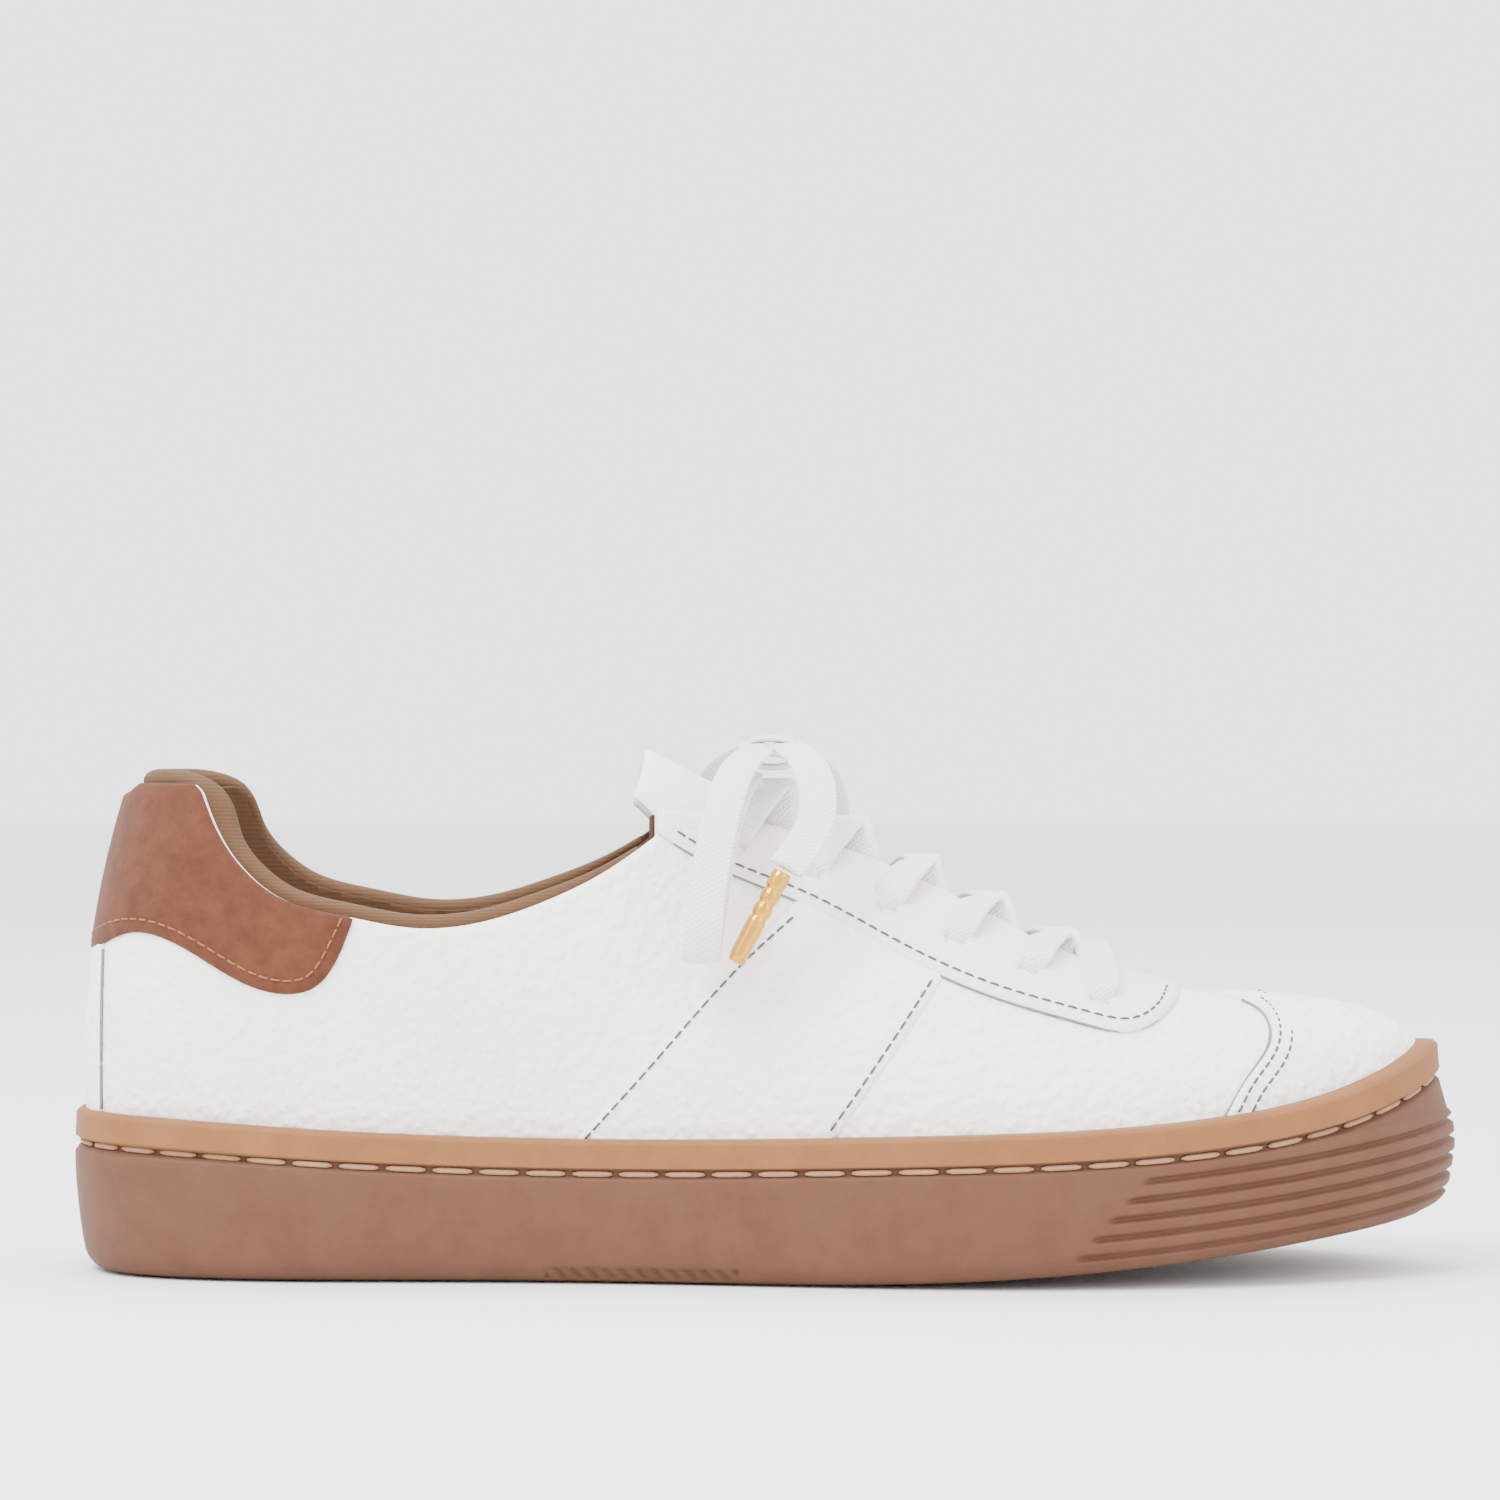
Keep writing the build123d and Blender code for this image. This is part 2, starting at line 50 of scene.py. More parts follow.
MEDIAL_OUTLINE = [(150, 0), (142.5, 19), (124, 37.5), (95, 48.5), (60, 52.5), (28, 49), (-12, 41.5), (-52, 37.5),
                  (-92, 37), (-122, 33.5), (-143.5, 21.5)]
TOE_SPRING = 13.5
FEATHER_HEIGHT = 15.0
LAST_INSET = [(-150, 5.4), (-120, 6.6), (-60, 6.2), (0, 6.8), (60, 6.6), (110, 9.0), (150, 11.8)]
RIDGE = [(-112, 150), (-90, 150), (-60, 137), (-45, 127.5), (-24, 115), (0, 102.6), (16, 94.5), (34, 84.8),
         (47, 77.6), (62, 69.6), (78, 62.8), (93, 59.3), (104, 58.4), (116, 57.5)]
RIDGE_REACH = [(-150, -103), (-100, -90), (-50, -50), (0, 0), (60, 55), (100, 83), (150, 104)]
BULGE = [(-150, 11.1), (-110, 9.0), (-60, 6.0), (0, 6.0), (60, 7.0), (110, 7.0), (150, 8.0)]
RISE = [(-150, 62), (-110, 60), (-60, 56), (0, 36), (60, 25), (110, 21), (150, 21)]
ROOF = [(-150, 24), (-110, 28), (-60, 24), (-24, 20), (20, 20), (60, 24), (90, 30), (120, 36), (150, 37)]

LEATHER = 1.4
OVERLAY = 1.3
COLLAR_PAD = 4.5
GROOVE_DROP = 7.0
SOLE_STITCH = 8.2
SOLE_STITCH_PITCH = 9.7
TOE_GROOVES = 5
TOE_GROOVE_PITCH = 3.72
PANEL_REAR = -47.5
PANEL_FRONT = -6.5
SLOT_PITCH = 3.4
LIP_LINE = [(-160, 34.6), (-148, 34.5), (-90, 31.6), (-27, 30.1), (29, 31.4), (94, 34.9), (122, 39.5), (144, 46.5),
            (160, 53)]
COLLAR = [(-23.8, 93.5), (-35.5, 85.4), (-46.1, 80.2), (-60, 75.5), (-75, 74.2), (-89, 76.7), (-101.8, 80.1),
          (-110.2, 86.2), (-116, 94), (-120, 103)]
HEEL_TOP = 104.4
MEDIAL_LIFT = 1.5
STRIPE_REAR = [(-44.6, 25), (-24.9, 47.1), (-4.4, 69.4), (15, 89)]
STRIPE_FRONT = [(10, 25), (20.9, 40.6), (36.6, 63.4), (44, 75)]
EYESTAY_EDGE = [(-24.2, 94.2), (-13.3, 87.7), (7.2, 78.9), (27.2, 68.3), (48, 59.2), (67.5, 53.5), (76, 52.1),
                (83.9, 55.3), (89.4, 61), (92, 70)]
TOE_SEAM = [(88, 26), (94.2, 33.6), (100.3, 42.8), (106.8, 51.9), (106.4, 55), (102, 57.6), (89, 60), (80, 61.5)]
PATCH_EDGE = [(-160, 61), (-146.8, 67.2), (-135, 72.8), (-120.1, 68.1), (-103.7, 60.5), (-95.7, 61.4),
              (-89.9, 68.9), (-86.1, 80)]
BACK_STRIP_X = -142.0
THROAT = [(-40, -24.5), (-24, -19.5), (16, -11.5), (47, -10), (70, -9), (79, 0), (70, 9), (47, 10), (16, 11.5),
          (-24, 19.5), (-40, 24.5)]
EYELETS = [(-7, 91), (9, 84.5), (25, 77.7), (39.5, 71), (55, 64.6), (70, 58.2)]
EYELET_RADIUS = 2.2
STITCH_PITCH = 2.85
TONGUE_END = [(-36, 84), (-33, 92), (-25.5, 110), (-24, 120)]
TONGUE_NARROW = [(-45, 17.5), (-26, 17.5)]
TONGUE_WIDE = [(-12, 23), (86, 21)]

LACE_WIDTH = 8.0
LACE_THICKNESS = 1.5
PINCH = 3.6
PINCH_REACH = 4.5
STRAND_STEPS = 48
LACE_EDGES = 20
LOOP_LATERAL = [(-2, -7.5, 111.5), (-6, -21, 109.5), (-9.5, -34, 100), (-12, -42.5, 87), (-13.5, -46.5, 75),
                (-14, -44.8, 67.2), (-13.8, -38.4, 69), (-12.5, -38.2, 79), (-10.5, -32, 92), (-7.5, -20.5, 102.5),
                (-4.8, -9.5, 106.4)]
LOOP_MEDIAL = [(-3.5, 7.5, 112), (-9, 20.5, 109.5), (-14, 32.5, 100.5), (-17, 41, 88), (-18.5, 45.5, 77),
               (-18.5, 44, 69.4), (-18, 37.6, 71), (-17, 37, 81), (-14.5, 31, 93), (-10.5, 20, 103), (-5.2, 9.5, 106.6)]
END_LATERAL = [(4.5, -7.5, 112.5), (9, -18, 109.5), (11, -27.5, 102), (9.5, -35.5, 93.5), (3.6, -40.5, 87)]
END_MEDIAL = [(4.5, 7.5, 112), (11, 17.5, 108.5), (14.5, 27, 101), (14.5, 35, 92), (11, 40.5, 84)]
AGLET_LATERAL = [(3.0, -40.9, 86), (-6.9, -43.5, 67.5)]
AGLET_MEDIAL = [(10.6, 40.9, 83), (5.0, 44.0, 63.5)]
SIDES = {"lateral": -1, "medial": 1}
AROUND, UP = ((420, 130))


def cubic(points):
    """The natural cubic curve through (x, value) points, as a function of x."""
    x, y = np.array(list(points), float).T
    gap = np.diff(x)
    rows = np.eye(len(x))
    load = np.zeros(len(x))
    for i in range(1, len(x) - 1):
        rows[i, i - 1:i + 2] = gap[i - 1], 2 * (gap[i - 1] + gap[i]), gap[i]
        load[i] = 6 * ((y[i + 1] - y[i]) / gap[i] - (y[i] - y[i - 1]) / gap[i - 1])
    bend = np.linalg.solve(rows, load)

    def value(at):
        at = np.clip(at, x[0], x[-1])
        i = np.clip(np.searchsorted(x, at) - 1, 0, len(x) - 2)
        left, right = x[i + 1] - at, at - x[i]
        curved = (bend[i] * left ** 3 + bend[i + 1] * right ** 3) / (6 * gap[i])
        return (curved + (y[i] / gap[i] - bend[i] * gap[i] / 6) * left
                + (y[i + 1] / gap[i] - bend[i + 1] * gap[i] / 6) * right)

    return value


def smooth(x):
    x = np.clip(x, 0, 1)
    return x * x * (3 - 2 * x)


looped = np.array((LATERAL_OUTLINE + MEDIAL_OUTLINE) * 3, float)
travelled = np.concatenate([[0], np.cumsum(np.linalg.norm(np.diff(looped, axis=0), axis=1))])
lap = travelled[len(looped) // 3]
toe = travelled[len(LATERAL_OUTLINE)] / lap
outline_x, outline_y = cubic(zip(travelled, looped[:, 0])), cubic(zip(travelled, looped[:, 1]))
last_inset, ridge, ridge_reach = cubic(LAST_INSET), cubic(RIDGE), cubic(RIDGE_REACH)
bulge, rise, roof, lip_line = cubic(BULGE), cubic(RISE), cubic(ROOF), cubic(LIP_LINE)
collar_height = cubic(COLLAR[::-1])


def outline(w):
    """The sole's outline: 0 at the heel, along the outer side to the toe, and back to the heel at 1."""
    return np.stack([outline_x(lap * (1 + w)), outline_y(lap * (1 + w))], -1)


def outward(w):
    along = outline(w + 1e-4) - outline(w - 1e-4)
    along = along / np.linalg.norm(along, axis=-1, keepdims=True)
    return np.stack([along[..., 1], -along[..., 0]], -1)


def spring(x):
    return TOE_SPRING * (np.maximum(x, 0) / 150) ** 1.9


def last(w, t):
    """Points of the last, the form that the upper follows."""
    w, t = np.broadcast_arrays(np.asarray(w, float), np.asarray(t, float))
    plan, out = outline(w), outward(w)
    x = plan[..., 0]
    foot = plan - last_inset(x)[..., None] * out
    side = foot + bulge(x)[..., None] * out
    top = ridge_reach(x)
    slope = ridge(top + 0.5) - ridge(top - 0.5)
    run = roof(x)[..., None] * out
    low = FEATHER_HEIGHT + spring(x)
    poles = [np.stack(p, -1) for p in ((foot[..., 0], foot[..., 1], low), (side[..., 0], side[..., 1], low + rise(x)),
                                       (top + run[..., 0], run[..., 1], ridge(top) + run[..., 0] * slope),
                                       (top, 0 * top, ridge(top)))]
    t = t[..., None]
    u = 1 - t
    return u ** 3 * poles[0] + 3 * t * u * u * poles[1] + 3 * t * t * u * poles[2] + t ** 3 * poles[3]


def normals(w, t):
    step = 1e-4
    across = last(w + step, t) - last(w - step, t)
    up = last(w, np.minimum(t + step, 1)) - last(w, np.maximum(t - step, 0))
    out = np.cross(across, up)
    return out / np.linalg.norm(out, axis=-1, keepdims=True)


def curve_points(points, step=1.0):
    """Points along a smooth curve, about a step apart."""
    pts = np.array(points, float)
    at = np.concatenate([[0], np.cumsum(np.linalg.norm(np.diff(pts, axis=0), axis=1))])
    if len(pts) == 2:
        return pts
    fine = np.linspace(0, at[-1], max(8, int(at[-1] / step)))
    return np.stack([cubic(zip(at, pts[:, k]))(fine) for k in range(pts.shape[1])], -1)


def inside(strokes):
    """The signed distance into a closed region whose sides are strokes: curves, or straight where two points."""
    ring = np.concatenate([curve_points(s) for s in strokes])
    a, b = ring, np.roll(ring, -1, axis=0)
    keep = np.linalg.norm(b - a, axis=1) > 1e-9
    a, b = a[keep], b[keep]

    def distance(p, q):
        flat_p, flat_q = np.ravel(p), np.ravel(q)
        best = np.full(len(flat_p), 1e9)
        odd = np.zeros(len(flat_p), bool)
        for (ax, ay), (bx, by) in zip(a, b):
            dx, dy = bx - ax, by - ay
            s = np.clip(((flat_p - ax) * dx + (flat_q - ay) * dy) / (dx * dx + dy * dy), 0, 1)
            best = np.minimum(best, (flat_p - ax - s * dx) ** 2 + (flat_q - ay - s * dy) ** 2)
            if by != ay:
                odd ^= ((ay > flat_q) != (by > flat_q)) & (flat_p < (flat_q - ay) / (by - ay) * dx + ax)
        return np.where(odd, 1, -1).reshape(np.shape(p)) * np.sqrt(best).reshape(np.shape(p))

    return distance


def mesh_piece(name, points, faces, body, material, uv=None):
    """A mesh object from points in mm; it rides on a body."""
    mesh = bpy.data.meshes.new(name)
    mesh.from_pydata([tuple(p) for p in np.asarray(points, float) * MM], [], [tuple(map(int, f)) for f in faces])
    mesh.validate()
    mesh.update()
    if uv is not None:
        layer = mesh.uv_layers.new(name="along")
        for loop in mesh.loops:
            layer.data[loop.index].uv = uv[loop.vertex_index]
    for polygon in mesh.polygons:
        polygon.use_smooth = True
    mesh.materials.append(material)
    piece = bpy.data.objects.new(name, mesh)
    bpy.context.scene.collection.objects.link(piece)
    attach(piece, body)
    return piece


class Half:
    """The last as a fine grid of one side, with its normals, and the nearest places on it."""

    def __init__(self, side):
        self.side = side
        share = np.linspace(0, 1, AROUND)
        w = toe * share if side == "lateral" else 1 + (toe - 1) * share
        self.w, self.t = np.meshgrid(w, np.linspace(0, 1, UP), indexing="ij")
        self.points = last(self.w, self.t)
        self.normals = normals(self.w, self.t)
        self.normals[:, -1, 1] = 0
        self.points[[0, -1], :, 1] = 0
        self.normals[[0, -1], :, 1] = 0
        self.tree = KDTree(self.points.size // 3)
        for i, p in enumerate(self.points.reshape(-1, 3)):
            self.tree.insert((p[0], 0, p[2]), i)
        self.tree.balance()

    def place(self, x, z):
        """The point and normal at a place given in the side view."""
        i = self.tree.find((x, 0, z))[1]
        p, n = self.points.reshape(-1, 3)[i].copy(), self.normals.reshape(-1, 3)[i]
        dx, dz = x - p[0], z - p[2]
        if abs(n[1]) > 0.15:
            p += (dx, -(n[0] * dx + n[2] * dz) / n[1], dz)
        return p, n

    def on(self, x, y):
        """The point and normal above a place given in plan."""
        flat = self.points.reshape(-1, 3)
        high = (self.t.ravel() > 0.35)
        miss = (flat[:, 0] - x) ** 2 + (flat[:, 1] - y) ** 2 + np.where(high, 0, 1e6)
        i = int(miss.argmin())
        return flat[i].copy(), self.normals.reshape(-1, 3)[i]


halves = {side: Half(side) for side in SIDES}


def clipped(values, points):
    """The grid's triangles where values are positive, cut along their zero line, as points and faces."""
    rows, cols = values.shape
    index = np.arange(rows * cols).reshape(rows, cols)
    quads = np.stack([index[:-1, :-1], index[1:, :-1], index[1:, 1:], index[:-1, 1:]], -1).reshape(-1, 4)
    flat = values.ravel()
    count = (flat[quads] > 0).sum(1)
    faces = [list(q) for q in quads[count == 4]]
    data = [list(p) for p in points.reshape(rows * cols, -1)]
    cuts = {}

    def crossing(i, j):
        key = (min(i, j), max(i, j))
        if key not in cuts:
            share = flat[i] / (flat[i] - flat[j])
            cuts[key] = len(data)
            data.append([a + (b - a) * share for a, b in zip(data[i], data[j])])
        return cuts[key]

    for quad in quads[(count > 0) & (count < 4)]:
        loop = []
        for i, j in zip(quad, np.roll(quad, -1)):
            if flat[i] > 0:
                loop.append(i)
            if (flat[i] > 0) != (flat[j] > 0):
                loop.append(crossing(i, j))
        if len(loop) > 2:
            faces.append(loop)
    used = sorted({i for face in faces for i in face})
    new = {old: k for k, old in enumerate(used)}
    return np.array([data[i] for i in used]), [[new[i] for i in face] for face in faces]


def panel(name, sides, wanted, height, thick, body, material, node=None, edge=0.55):
    """A layer of the upper with thickness, where wanted(points, side) is positive."""
    points, faces = [], []
    for side in sides:
        half = halves[side]
        values = wanted(half.points, side)
        lift = height(half.points) if callable(height) else np.full(values.shape, float(height))
        data = np.concatenate([half.points, half.normals, lift[..., None], values[..., None]], -1)
        data, patches = clipped(values, data)
        if side == "medial":
            patches = [patch[::-1] for patch in patches]
        start = sum(len(p) for p in points)
        points.append(data)
        faces += [[i + start for i in patch] for patch in patches]
    data = np.concatenate(points)
    round_edge = edge * (1 - smooth(data[:, 7] / 0.9)) if edge else 0
    outer = data[:, :3] + data[:, 3:6] * (data[:, 6] - round_edge)[:, None]
    inner = data[:, :3] + data[:, 3:6] * (data[:, 6] - thick)[:, None]
    total = len(outer)
    edges = {}
    for face in faces:
        for i, j in zip(face, face[1:] + face[:1]):
            edges[(i, j)] = edges.get((i, j), 0) + 1
    rim = [(i, j) for (i, j) in edges if (j, i) not in edges]
    closed = faces + [[i + total for i in face[::-1]] for face in faces]
    closed += [[j, i, i + total, j + total] for i, j in rim]
    piece = mesh_piece(name, np.concatenate([outer, inner]), closed, body, material)
    weld = piece.modifiers.new("weld", "WELD")
    weld.merge_threshold = 0.00002
    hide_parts(node or name)
    return piece


# ---------------------------------------------------------------- materials

def new_material(name, colour, roughness):
    """A principled material and its nodes."""
    material = bpy.data.materials.new(name)
    material.use_nodes = True
    tree = material.node_tree
    shader = tree.nodes["Principled BSDF"]
    shader.inputs["Base Color"].default_value = (*colour, 1)
    shader.inputs["Roughness"].default_value = roughness
    return material, tree, shader


def place_node(tree):
    """Object coordinates in millimetres."""
    where = tree.nodes.new("ShaderNodeTexCoord")
    size = tree.nodes.new("ShaderNodeMapping")
    size.inputs["Scale"].default_value = (1 / MM,) * 3
    tree.links.new(where.outputs["Object"], size.inputs["Vector"])
    return size.outputs["Vector"]


def noise(tree, where, scale, detail=3.0, roughness=0.55):
    node = tree.nodes.new("ShaderNodeTexNoise")
    node.inputs["Scale"].default_value = scale
    node.inputs["Detail"].default_value = detail
    node.inputs["Roughness"].default_value = roughness
    tree.links.new(where, node.inputs["Vector"])
    return node.outputs["Fac"]


def cells(tree, where, scale, feature="F1"):
    node = tree.nodes.new("ShaderNodeTexVoronoi")
    node.feature = feature
    node.inputs["Scale"].default_value = scale
    tree.links.new(where, node.inputs["Vector"])
    return node.outputs["Distance"]


def ramp(tree, value, low, high, dark, light):
    node = tree.nodes.new("ShaderNodeValToRGB")
    node.color_ramp.elements[0].position, node.color_ramp.elements[1].position = low, high
    node.color_ramp.elements[0].color, node.color_ramp.elements[1].color = (*dark, 1), (*light, 1)
    tree.links.new(value, node.inputs["Fac"])
    return node.outputs["Color"]


def bump(tree, shader, layers):
    """Bumps chained from (height, strength, distance in mm)."""
    before = None
    for height, strength, distance in layers:
        node = tree.nodes.new("ShaderNodeBump")
        node.inputs["Strength"].default_value = strength
        node.inputs["Distance"].default_value = distance * MM
        tree.links.new(height, node.inputs["Height"])
        if before:
            tree.links.new(before, node.inputs["Normal"])
        before = node.outputs["Normal"]
    tree.links.new(before, shader.inputs["Normal"])


def leather(name, colour, shade, grain, depth, roughness=0.5):
    material, tree, shader = new_material(name, colour, roughness)
    where = place_node(tree)
    warp = tree.nodes.new("ShaderNodeVectorMath")
    warp.operation = "ADD"
    shift = tree.nodes.new("ShaderNodeTexNoise")
    shift.inputs["Scale"].default_value = 0.5
    tree.links.new(where, shift.inputs["Vector"])
    tree.links.new(where, warp.inputs[0])
    tree.links.new(shift.outputs["Color"], warp.inputs[1])
    pebbles = cells(tree, warp.outputs["Vector"], grain, "SMOOTH_F1")
    fine = noise(tree, where, 2.2, 4)
    broad = noise(tree, where, 0.05, 2)
    bump(tree, shader, [(pebbles, depth, -1.3), (fine, depth * 0.5, 0.3)])
    tree.links.new(ramp(tree, broad, 0.3, 0.7, shade, colour), shader.inputs["Base Color"])
    shader.inputs["Sheen Weight"].default_value = 0.08
    return material


def nap(name, colour, shade, scale=0.35, depth=0.4, roughness=0.9):
    """Suede, nubuck or foam: a fine nap over cloudy colour."""
    material, tree, shader = new_material(name, colour, roughness)
    where = place_node(tree)
    clouds = noise(tree, where, scale, 5, 0.65)
    fibres = noise(tree, where, 4.5, 3, 0.7)
    tree.links.new(ramp(tree, clouds, 0.32, 0.68, shade, colour), shader.inputs["Base Color"])
    bump(tree, shader, [(fibres, depth, 0.25), (clouds, depth * 0.5, 0.4)])
    shader.inputs["Sheen Weight"].default_value = 0.06
    shader.inputs["Specular IOR Level"].default_value = 0.15
    return material


def knit(name, colour, shade, ribs):
    """Ribbed cloth: fine waves with a fine fuzz over them."""
    material, tree, shader = new_material(name, colour, 0.95)
    where = place_node(tree)
    wave = tree.nodes.new("ShaderNodeTexWave")
    wave.bands_direction = "Z"
    wave.inputs["Scale"].default_value = ribs
    wave.inputs["Distortion"].default_value = 0.6
    tree.links.new(where, wave.inputs["Vector"])
    fuzz = noise(tree, where, 3.0, 3)
    # the colour darkens to shade in the rib grooves: painted shade between the ribs
    tree.links.new(ramp(tree, wave.outputs["Fac"], 0.1, 0.9, shade, colour), shader.inputs["Base Color"])
    bump(tree, shader, [(wave.outputs["Fac"], 0.7, 0.35), (fuzz, 0.4, 0.2)])
    shader.inputs["Sheen Weight"].default_value = 0.08
    shader.inputs["Specular IOR Level"].default_value = 0.1
    return material


def braid(name, colour, shade):
    """Flat braid: two crossing sets of slanted ribs that follow the lace, with painted shade in the hollows between
    them.
    """
    material, tree, shader = new_material(name, colour, 0.85)
    along = tree.nodes.new("ShaderNodeUVMap")
    along.uv_map = "along"
    heights = []
    for turn in (0.62, -0.62):
        spin = tree.nodes.new("ShaderNodeMapping")
        spin.inputs["Rotation"].default_value = (0, 0, turn)
        wave = tree.nodes.new("ShaderNodeTexWave")
        wave.inputs["Scale"].default_value = 0.32
        tree.links.new(along.outputs["UV"], spin.inputs["Vector"])
        tree.links.new(spin.outputs["Vector"], wave.inputs["Vector"])
        heights.append(wave.outputs["Fac"])
    both = tree.nodes.new("ShaderNodeMath")
    both.operation = "MULTIPLY"
    tree.links.new(heights[0], both.inputs[0])
    tree.links.new(heights[1], both.inputs[1])
    fuzz = noise(tree, place_node(tree), 2.5, 3)
    # the colour darkens to shade where the ribs are low: painted shade in the braid's hollows
    tree.links.new(ramp(tree, both.outputs["Value"], 0.0, 0.6, shade, colour), shader.inputs["Base Color"])
    bump(tree, shader, [(both.outputs["Value"], 0.7, 0.5), (fuzz, 0.3, 0.15)])
    shader.inputs["Sheen Weight"].default_value = 0.15
    return material


def rubber(name, colour, shade):
    """Gum rubber: cloudy colour, a fine speckle and a dry surface."""
    material, tree, shader = new_material(name, colour, 0.62)
    where = place_node(tree)
    clouds = noise(tree, where, 0.12, 4, 0.6)
    specks = noise(tree, where, 1.6, 2, 0.8)
    tree.links.new(ramp(tree, clouds, 0.3, 0.7, shade, colour), shader.inputs["Base Color"])
    bump(tree, shader, [(specks, 0.25, 0.2)])
    shader.inputs["Specular IOR Level"].default_value = 0.2
    return material


def metal(name, colour):
    material, tree, shader = new_material(name, colour, 0.24)
    shader.inputs["Metallic"].default_value = 1.0
    wear = noise(tree, place_node(tree), 0.8, 4)
    bump(tree, shader, [(wear, 0.12, 0.2)])
    return material


WHITE = leather("white_leather", (0.90, 0.895, 0.865), (0.85, 0.845, 0.81), 0.5, 0.6)
SMOOTH = leather("smooth_leather", (0.82, 0.80, 0.775), (0.79, 0.77, 0.74), 1.3, 0.2)
SUEDE = nap("tongue_suede", (0.85, 0.86, 0.875), (0.79, 0.80, 0.82))
NUBUCK = nap("brown_nubuck", (0.108, 0.037, 0.019), (0.074, 0.024, 0.012), 0.22, 0.5, 0.85)
RAW = nap("raw_edge", (0.22, 0.225, 0.22), (0.14, 0.145, 0.145), 1.0)
RUBBER = rubber("gum_rubber", (0.108, 0.047, 0.026), (0.092, 0.038, 0.021))
LIP = rubber("gum_lip", (0.215, 0.090, 0.032), (0.185, 0.073, 0.026))
# each knit's second colour is painted shade for the grooves between its ribs
KNIT = knit("knit_lining", (0.135, 0.068, 0.033), (0.085, 0.041, 0.020), 1.1)
BROWN = knit("brown_lining", (0.105, 0.045, 0.026), (0.070, 0.030, 0.017), 1.6)
# the lace's second colour is painted shade for the braid's hollows
LACE = braid("white_lace", (0.92, 0.91, 0.88), (0.76, 0.75, 0.72))
GOLD = metal("gold_metal", (0.60, 0.31, 0.05))
GREY_THREAD = nap("grey_thread", (0.11, 0.115, 0.13), (0.07, 0.075, 0.09), 1.5)
TAN_THREAD = nap("tan_thread", (0.27, 0.115, 0.05), (0.20, 0.08, 0.035), 1.5)
SOLE_THREAD = nap("sole_thread", (0.34, 0.19, 0.105), (0.27, 0.145, 0.08), 1.5)
FOAM = nap("filler_foam", (0.72, 0.69, 0.62), (0.6, 0.57, 0.5), 1.0)
BOARD = nap("board", (0.55, 0.46, 0.34), (0.46, 0.38, 0.27), 0.8)
for node, material in {"midsole_filler": FOAM, "strobel_board": BOARD, "heel_counter": BOARD,
                       "footbed": BROWN}.items():
    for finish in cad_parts[node].material_slots:
        finish.material = material

# ---------------------------------------------------------------- upper

behind_seam = [(-25, -5), (-13, 30), (9, 54), (23, 75), (40, 160)]
under_collar = {}
for side in SIDES:
    extra = MEDIAL_LIFT if side == "medial" else 0
    line = [(x, z + extra * float(smooth((x + 125) / 10))) for x, z in COLLAR]
    under_collar[side] = inside([line, [(-121.5, HEEL_TOP), (-134, HEEL_TOP)],
                                 [(-137, HEEL_TOP - 2), (-170, HEEL_TOP - 2)],
                                 [(-170, -20), (170, -20)], [(170, 160), (-24, 160)]])
in_throat = inside([THROAT])
quarter_side = inside([behind_seam, [(-170, 160), (-170, -20)]])
stripe_shape = inside([STRIPE_REAR, STRIPE_FRONT[::-1]])
stay_shape = inside([EYESTAY_EDGE, [(92, 160), (-24.2, 160)]])
toe_shape = inside([TOE_SEAM, [(80, 160), (170, 160)], [(170, -20), (70, -20)]])
patch_shape = inside([PATCH_EDGE, [(-86, 160), (-170, 160)]])


def trimmed(p, side, lift=0.0):
    """Inside the collar line and outside the throat."""
    return np.minimum(under_collar[side](p[..., 0], p[..., 2]) + lift, -in_throat(p[..., 0], p[..., 1]))


def hole_distance(p, side):
    best = np.full(p.shape[:-1], 1e9)
    for x, z in EYELETS:
        centre, _ = halves[side].place(x, z)
        best = np.minimum(best, np.linalg.norm(p - centre, axis=-1))
    return best - EYELET_RADIUS


def quarter_area(p, side):
    return np.minimum(trimmed(p, side), quarter_side(p[..., 0], p[..., 2]))


def forefoot_area(p, side):
    return np.minimum(trimmed(p, side), -quarter_side(p[..., 0], p[..., 2]))


def stripe_area(p, side):
    return np.minimum(stripe_shape(p[..., 0], p[..., 2]), 1.5 - stay_shape(p[..., 0], p[..., 2]))


def stay_area(p, side):
    open_area = np.minimum(trimmed(p, side), stay_shape(p[..., 0], p[..., 2]))
    return np.minimum(open_area, hole_distance(p, side))


def toe_area(p, side):
    return np.minimum(toe_shape(p[..., 0], p[..., 2]), 1.5 - stay_shape(p[..., 0], p[..., 2]))


def patch_area(p, side):
    return np.minimum(under_collar[side](p[..., 0], p[..., 2]), patch_shape(p[..., 0], p[..., 2]))


def strip_area(p, side):
    return np.minimum(BACK_STRIP_X - p[..., 0], 1.5 - patch_shape(p[..., 0], p[..., 2]))


for side in SIDES:
    panel(f"quarter_{side}", [side], quarter_area, 0.0, LEATHER, "shoe", WHITE)
    panel(f"forefoot_panel_{side}", [side], forefoot_area, 0.0, LEATHER, "shoe", WHITE, edge=0)
    panel(f"stripe_{side}", [side], stripe_area, 0.75, 0.8, "shoe", WHITE)
both = list(SIDES)
panel("eyestay", both, stay_area, OVERLAY, OVERLAY, "shoe", SMOOTH)
panel("toe_piece", both, toe_area, 0.95, 1.0, "shoe", WHITE)
panel("heel_patch", both, patch_area, OVERLAY + 0.1, OVERLAY, "shoe", NUBUCK, edge=0.8)
panel("back_strip", both, strip_area, 0.9, 1.0, "shoe", WHITE)


def lining_depth(p):
    below = collar_height(p[..., 0]) - p[..., 2]
    pad = COLLAR_PAD * smooth((24 - below) / 18) * smooth((-34 - p[..., 0]) / 18)
    return -(2.0 + 1.6 * smooth((-45 - p[..., 0]) / 20) + pad)


